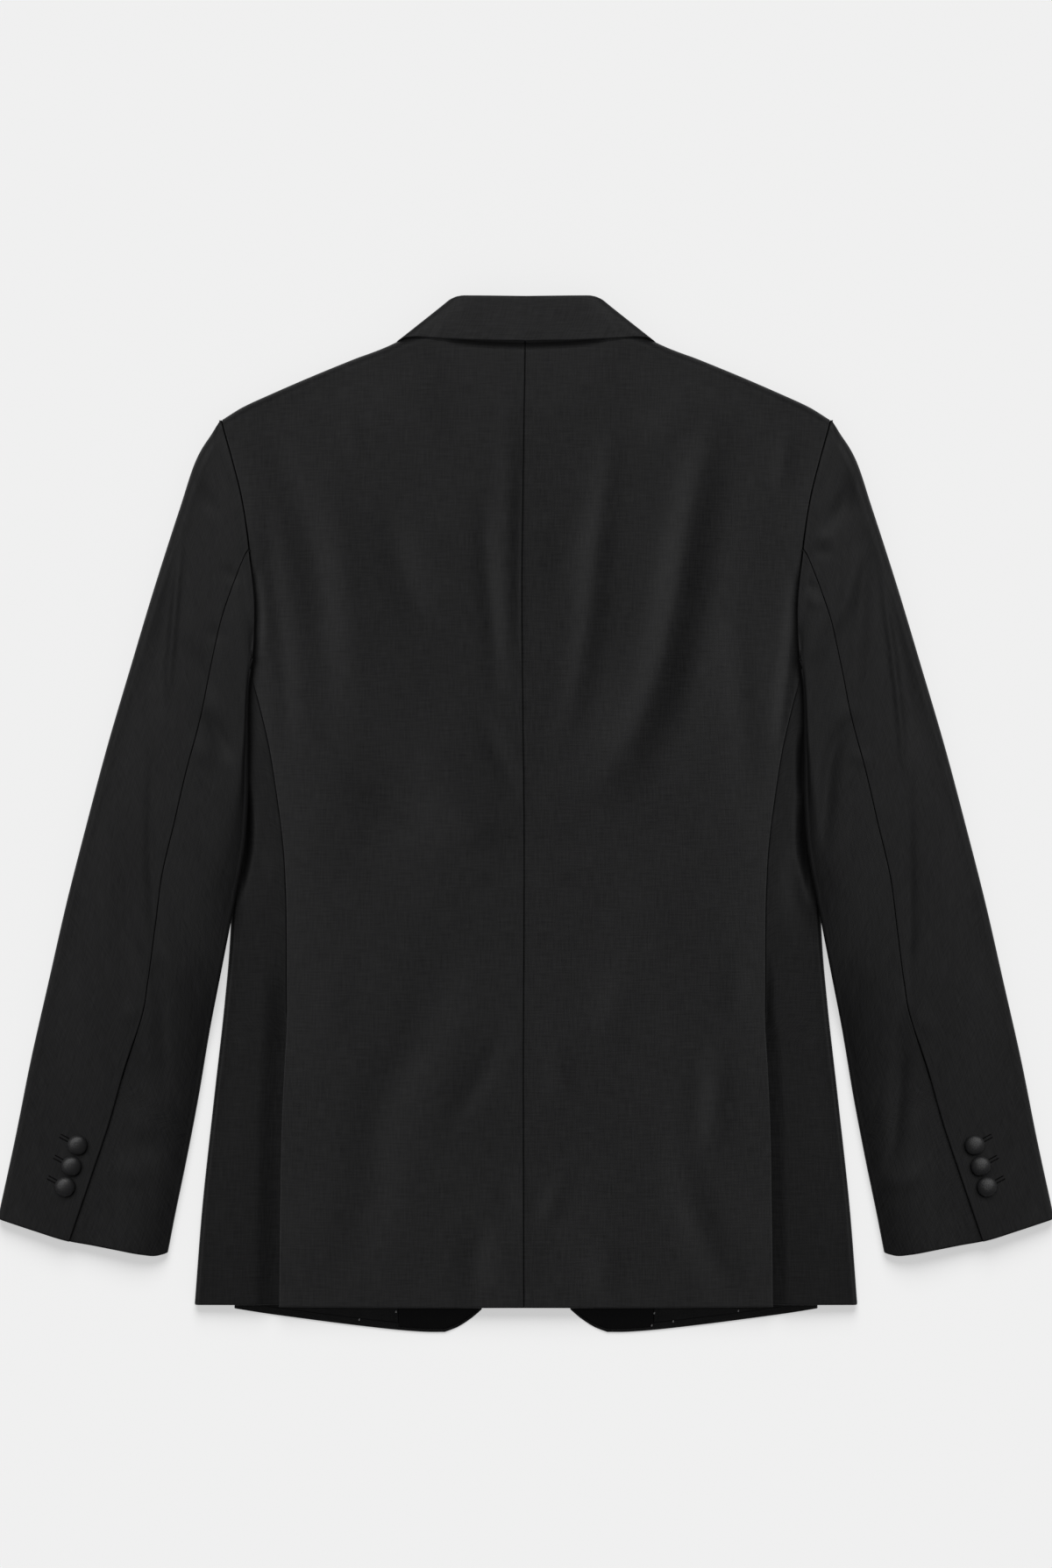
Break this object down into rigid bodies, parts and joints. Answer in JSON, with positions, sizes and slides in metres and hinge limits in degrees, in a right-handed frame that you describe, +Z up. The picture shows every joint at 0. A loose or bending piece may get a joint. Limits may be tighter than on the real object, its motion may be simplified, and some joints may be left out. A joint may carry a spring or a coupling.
{
  "type": "tuxedo jacket laid flat",
  "caption": "Black tuxedo jacket laid flat, back up, with its collar turned over the neck, covered cuff buttons and cut-away fronts.",
  "frame": {"origin": "middle of the jacket's outline as it lies, on the floor under it", "axes": "+X across the back towards the wearer's right sleeve, +Y from hem to collar, +Z up from the floor through the cloth"},
  "size_m": [0.805, 0.7888, 0.0244],
  "materials": {
    "black_wool": "fine worsted wool, matt with a faint nap",
    "black_satin": "silk satin, smooth with a soft sheen",
    "black_lining": "smooth woven lining with a slight sheen"
  },
  "bodies": {
    "root": {"back_left": "black_wool", "back_right": "black_wool", "side_panel_left": "black_wool", "side_panel_right": "black_wool", "front_left": "black_wool", "front_right": "black_wool", "front_facing_left": "black_wool", "front_facing_right": "black_wool", "front_lining_left": "black_lining", "front_lining_right": "black_lining", "lapel_left": "black_satin", "lapel_right": "black_satin", "top_sleeve_left": "black_wool", "top_sleeve_right": "black_wool", "under_sleeve_left": "black_wool", "under_sleeve_right": "black_wool", "collar_fall": "black_wool", "collar_stand": "black_wool", "cuff_button_left_1": "black_satin", "cuff_button_left_2": "black_satin", "cuff_button_left_3": "black_satin", "cuff_button_right_1": "black_satin", "cuff_button_right_2": "black_satin", "cuff_button_right_3": "black_satin", "front_button": "black_satin"}
  },
  "joints": []
}
